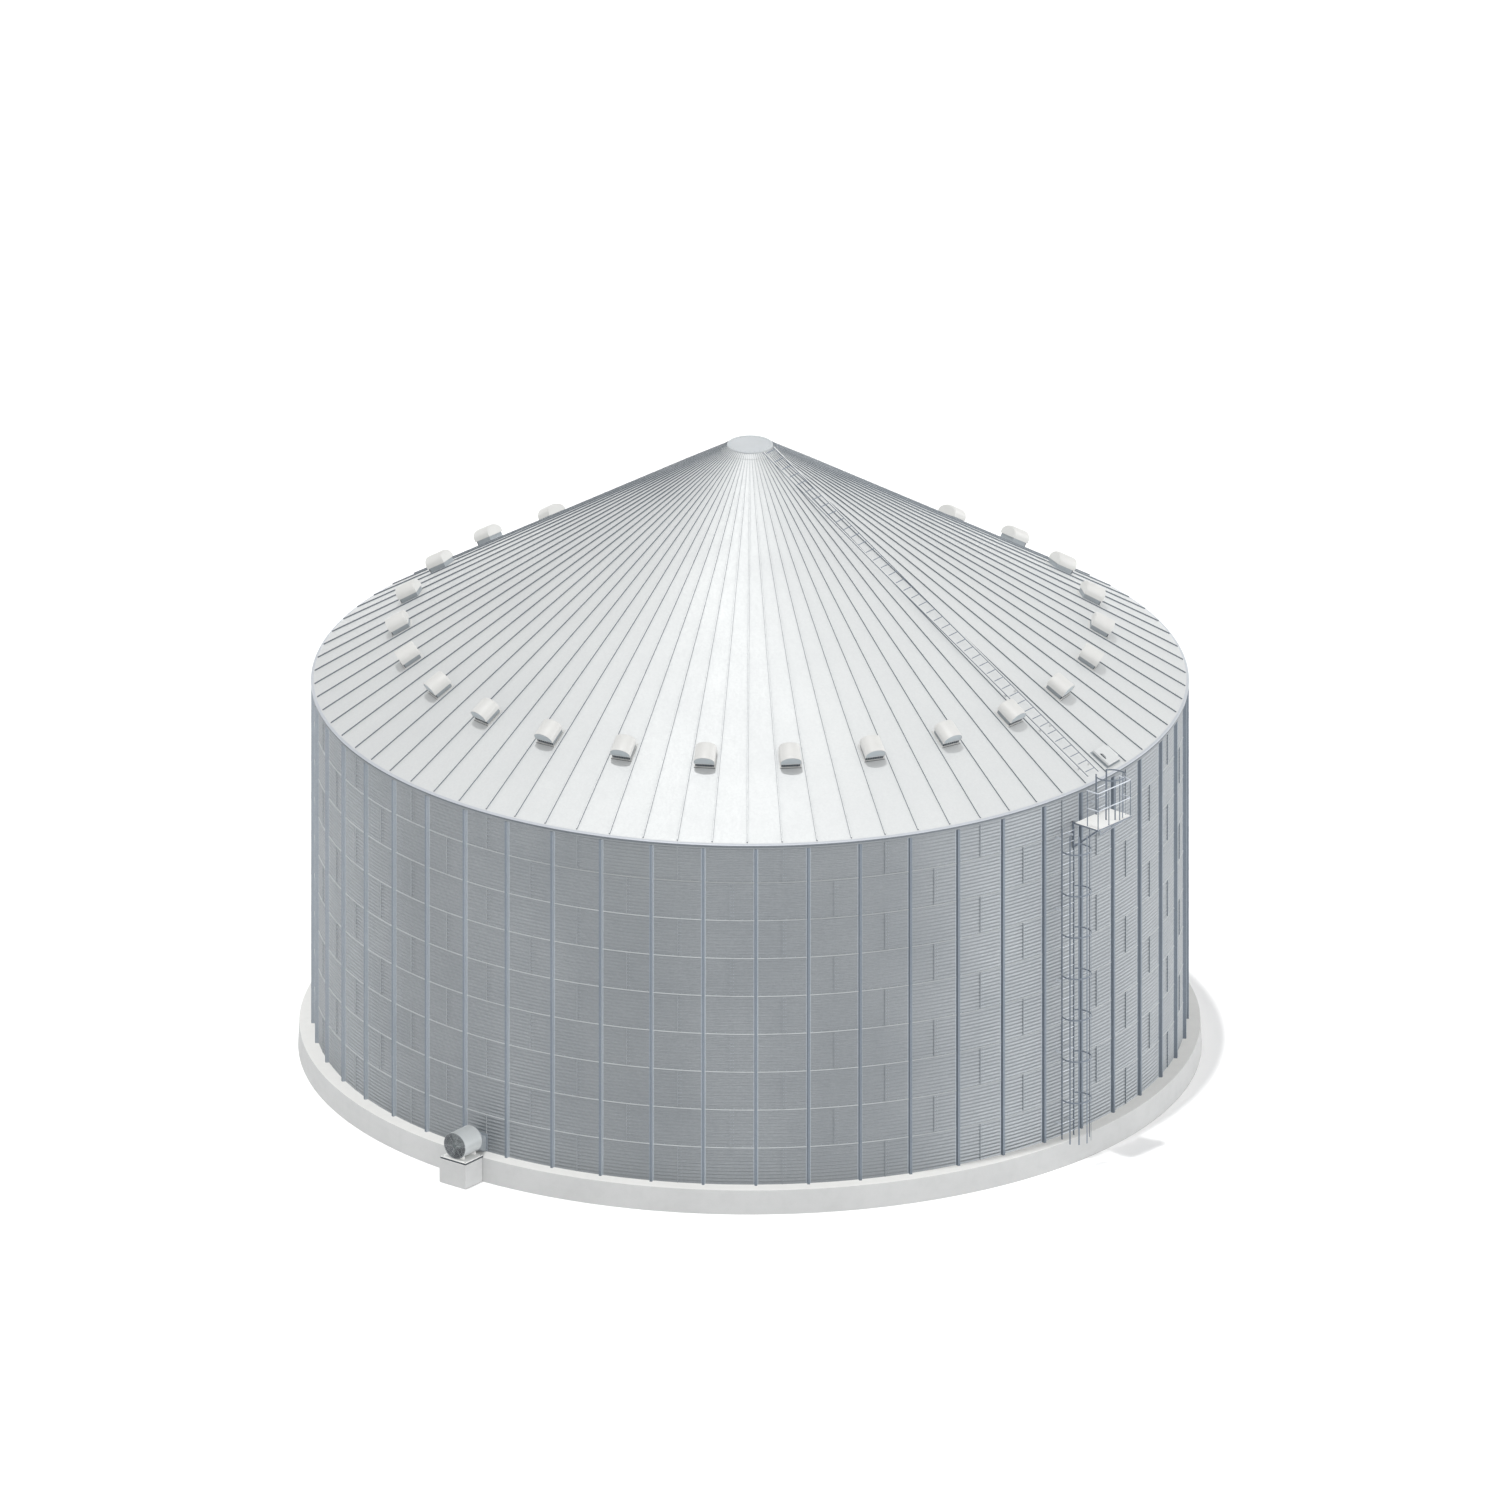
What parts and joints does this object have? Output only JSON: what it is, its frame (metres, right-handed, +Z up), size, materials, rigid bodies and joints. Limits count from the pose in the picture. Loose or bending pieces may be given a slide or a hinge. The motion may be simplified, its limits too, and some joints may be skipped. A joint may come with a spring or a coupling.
{
  "type": "grain silo",
  "caption": "Large flat-bottom grain silo: ribbed round steel wall with outside stiffeners, conical roof with vents, roof hatch, caged ladder, eave platform and axial fan on a concrete slab.",
  "frame": {"origin": "centre of the concrete slab's underside, at ground level", "axes": "+Z up along the silo's axis; -Y faces the camera of the reference picture and +X is to its right"},
  "size_m": [24.6998, 24.7054, 17.7483],
  "materials": {
    "concrete": "cast concrete, matt",
    "wall_sheet": "galvanised, weathered",
    "roof_sheet": "galvanised, bright",
    "light_steel": "light grey, satin",
    "bar_steel": "galvanised, dull",
    "deck_plate": "pale, matt",
    "dark_machine": "dark grey, satin"
  },
  "bodies": {
    "silo": {"foundation_slab": "concrete", "wall_sector_01": "wall_sheet", "wall_sector_02": "wall_sheet", "wall_sector_03": "wall_sheet", "wall_sector_04": "wall_sheet", "wall_sector_05": "wall_sheet", "wall_sector_06": "wall_sheet", "wall_sector_07": "wall_sheet", "wall_sector_08": "wall_sheet", "wall_sector_09": "wall_sheet", "wall_sector_10": "wall_sheet", "wall_sector_11": "wall_sheet", "wall_sector_12": "wall_sheet", "wall_sector_13": "wall_sheet", "wall_port_ring": "wall_sheet", "roof_sector_01": "roof_sheet", "roof_sector_02": "roof_sheet", "roof_sector_03": "roof_sheet", "roof_sector_04": "roof_sheet", "roof_sector_05": "roof_sheet", "roof_sector_06": "roof_sheet", "roof_sector_07": "roof_sheet", "roof_sector_08": "roof_sheet", "roof_sector_09": "roof_sheet", "roof_sector_10": "roof_sheet", "roof_sector_11": "roof_sheet", "roof_sector_12": "roof_sheet", "roof_sector_13": "roof_sheet", "peak_ring": "roof_sheet", "peak_cap": "roof_sheet", "hatch_curb": "light_steel", "wall_ladder": "bar_steel", "ladder_cage": "bar_steel", "eave_ladder": "bar_steel", "eave_cage": "bar_steel", "roof_ladder": "bar_steel", "platform_deck": "deck_plate", "platform_bracket_left": "bar_steel", "platform_bracket_right": "bar_steel", "platform_railing": "bar_steel", "fan_plinth": "concrete", "fan_base": "light_steel", "fan_housing": "light_steel", "fan_transition": "light_steel", "fan_guard": "dark_machine", "fan_motor": "dark_machine"},
    "hatch_lid": {"hatch_lid": "light_steel"},
    "fan_rotor": {"fan_impeller": "dark_machine"}
  },
  "joints": [
    {"name": "hatch_hinge", "type": "hinge", "parent": "silo", "child": "hatch_lid", "pos_m": [9.91845, -5.99471, 11.10021], "axis": [-0.7187, 0.4611, 0.5204], "range_deg": [0, 110]},
    {"name": "fan_spin", "type": "hinge", "parent": "silo", "child": "fan_rotor", "pos_m": [-7.96933, -10.05479, 1.14], "axis": [-0.6211, -0.7837, 0], "continuous": true}
  ]
}
